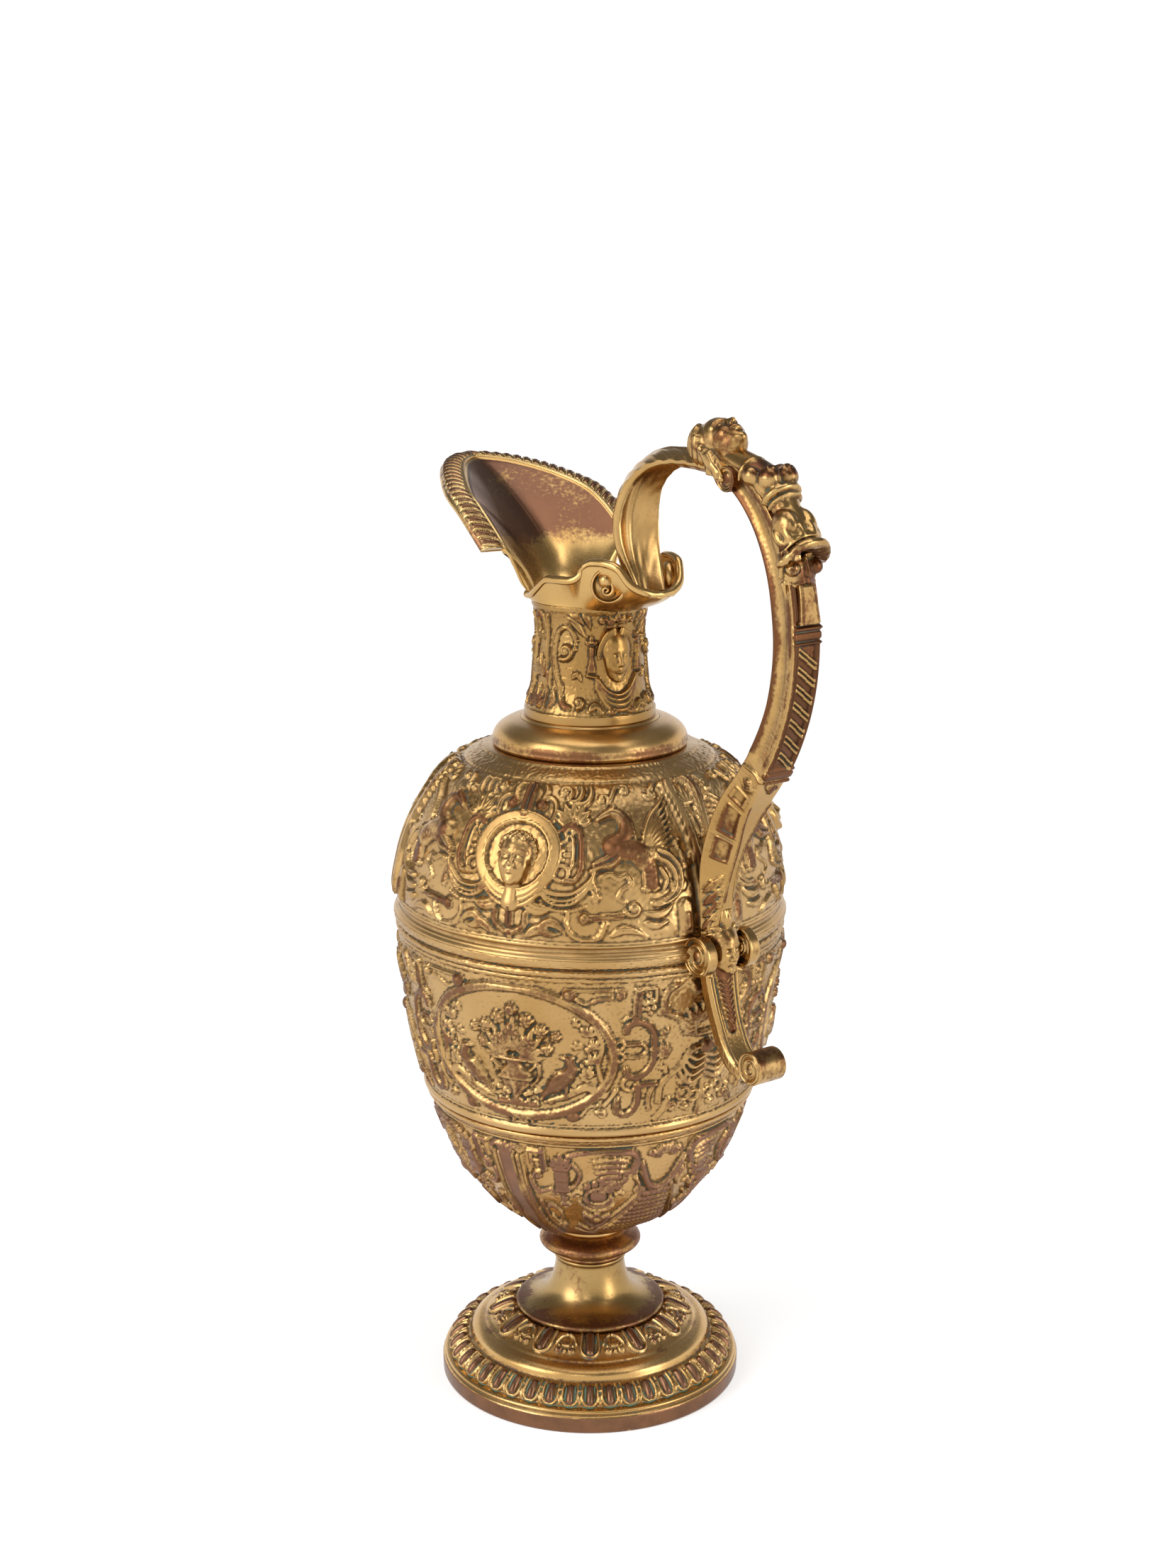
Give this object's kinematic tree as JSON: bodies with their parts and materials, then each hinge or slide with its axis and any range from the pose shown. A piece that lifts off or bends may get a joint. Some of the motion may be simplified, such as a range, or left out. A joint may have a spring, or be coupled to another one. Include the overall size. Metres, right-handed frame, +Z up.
{
  "type": "bronze ewer",
  "caption": "Footed ewer with an egg-shaped relief body, a knopped stem, a wide gadrooned spout and a tall scroll handle with a half figure.",
  "frame": {"origin": "on the body's axis, in the plane the foot rests on", "axes": "+Z up along the body's axis, +X towards the handle, -X towards the spout"},
  "size_m": [0.164, 0.1164, 0.3],
  "materials": {
    "gilt": "worn antique gilding, bright on the ground, brown on the high points",
    "copper": "brown patinated copper alloy, smooth",
    "iron": "plain dark iron"
  },
  "bodies": {
    "root": {"foot_base": "gilt", "foot_closing_plate": "copper", "stem_trumpet": "gilt", "knop": "copper", "bowl_seat_ring": "gilt", "lower_bowl": "gilt", "middle_band": "gilt", "shoulder": "gilt", "neck_collar": "gilt", "neck": "gilt", "mouth": "copper", "lip_border": "gilt", "cheek_boss_near": "gilt", "cheek_boss_far": "gilt", "handle_root": "gilt", "handle_strap": "gilt", "term_figure": "gilt", "grotesque_mask": "copper", "tail_mask": "copper", "bracket_scroll_near": "gilt", "bracket_scroll_far": "gilt", "tie_rod": "iron", "tie_washer": "iron", "tie_nut": "iron"}
  },
  "joints": []
}
